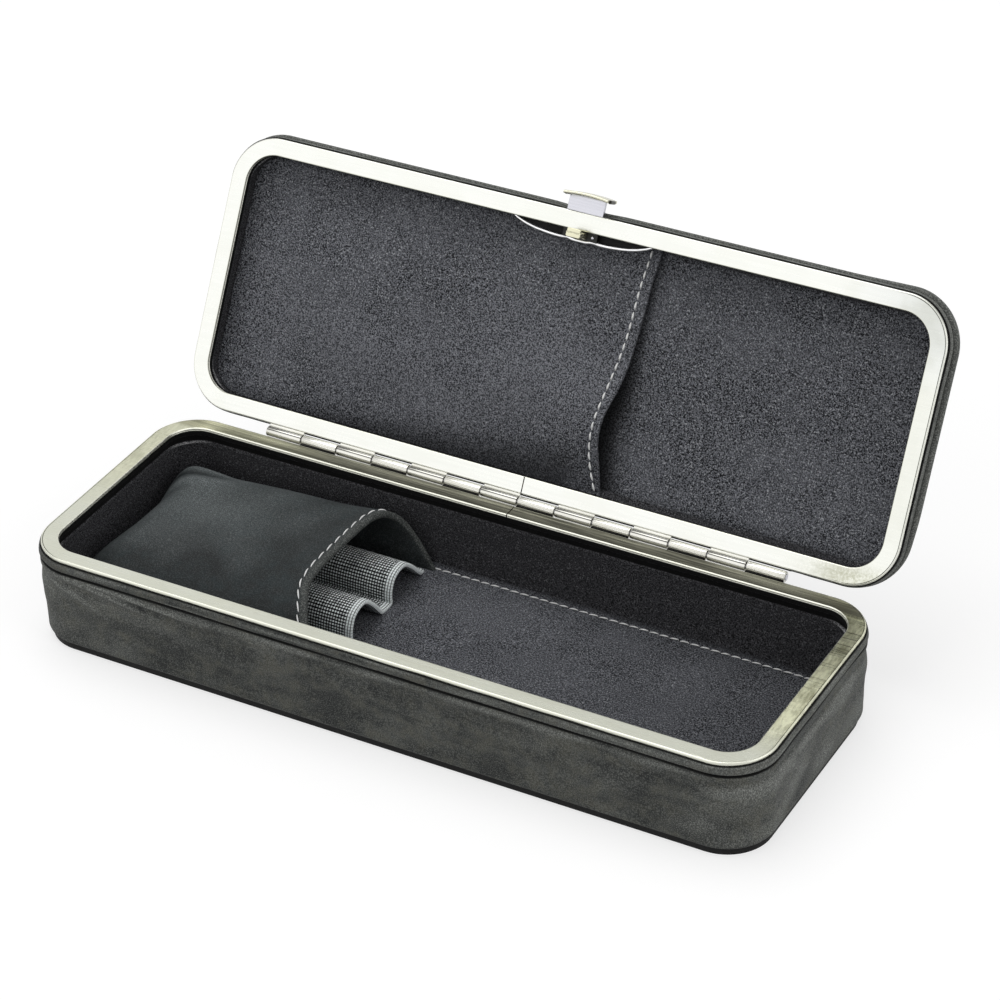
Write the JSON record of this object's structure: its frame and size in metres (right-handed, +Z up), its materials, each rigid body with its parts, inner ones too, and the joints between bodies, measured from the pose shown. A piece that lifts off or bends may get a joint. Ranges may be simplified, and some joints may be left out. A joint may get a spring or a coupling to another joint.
{
  "type": "pen case",
  "caption": "Hinged leather pen case standing open, with metal frames, a knuckle hinge, a push latch, a suede lining, a leather pen pocket over elastic loops and a suede flap in the lid.",
  "frame": {"origin": "centre of the base's bottom face, on the table", "axes": "+X along the length, to the right seen from the front; +Y from the latch side to the hinge side; +Z up"},
  "size_m": [0.2016, 0.117, 0.0971],
  "materials": {
    "black_base": "matte black",
    "cover_leather": "waxed, mottled grey-green",
    "board": "raw fibreboard",
    "frame_metal": "antique pale, brushed",
    "hinge_metal": "nickel-plated",
    "latch_metal": "nickel-plated",
    "black_suede": "suede",
    "grey_suede": "suede",
    "pocket_leather": "smooth, soft sheen",
    "elastic_webbing": "ribbed"
  },
  "bodies": {
    "base": {"bottom_panel": "black_base", "base_cover": "cover_leather", "base_collar": "cover_leather", "base_shell": "board", "base_frame": "frame_metal", "base_hinge_leaf": "hinge_metal", "hinge_pin": "hinge_metal", "base_lining": "black_suede", "floor_board": "board", "floor_pad": "grey_suede", "pen_pocket": "pocket_leather", "pen_loop_webbing": "elastic_webbing"},
    "lid": {"lid_cover": "cover_leather", "lid_collar": "cover_leather", "lid_shell": "board", "lid_frame": "frame_metal", "lid_hinge_leaf": "hinge_metal", "lid_lining": "black_suede", "lid_panel": "grey_suede", "lid_pocket_flap": "grey_suede", "latch_guide": "latch_metal", "latch_spring": "latch_metal"},
    "latch": {"latch_button": "latch_metal", "latch_catch": "frame_metal", "latch_rivets": "latch_metal"}
  },
  "joints": [
    {"name": "lid_hinge", "type": "hinge", "parent": "base", "child": "lid", "pos_m": [0, 0.03795, 0.02735], "axis": [1, 0, 0], "range_deg": [0, 119]},
    {"name": "latch_press", "type": "slide", "parent": "lid", "child": "latch", "axis": [0, -0.4848, -0.8746], "range_m": [0, 0.002], "stiffness_N_per_m": 500, "springref_m": -0.002, "deforming": ["latch_spring"]}
  ]
}
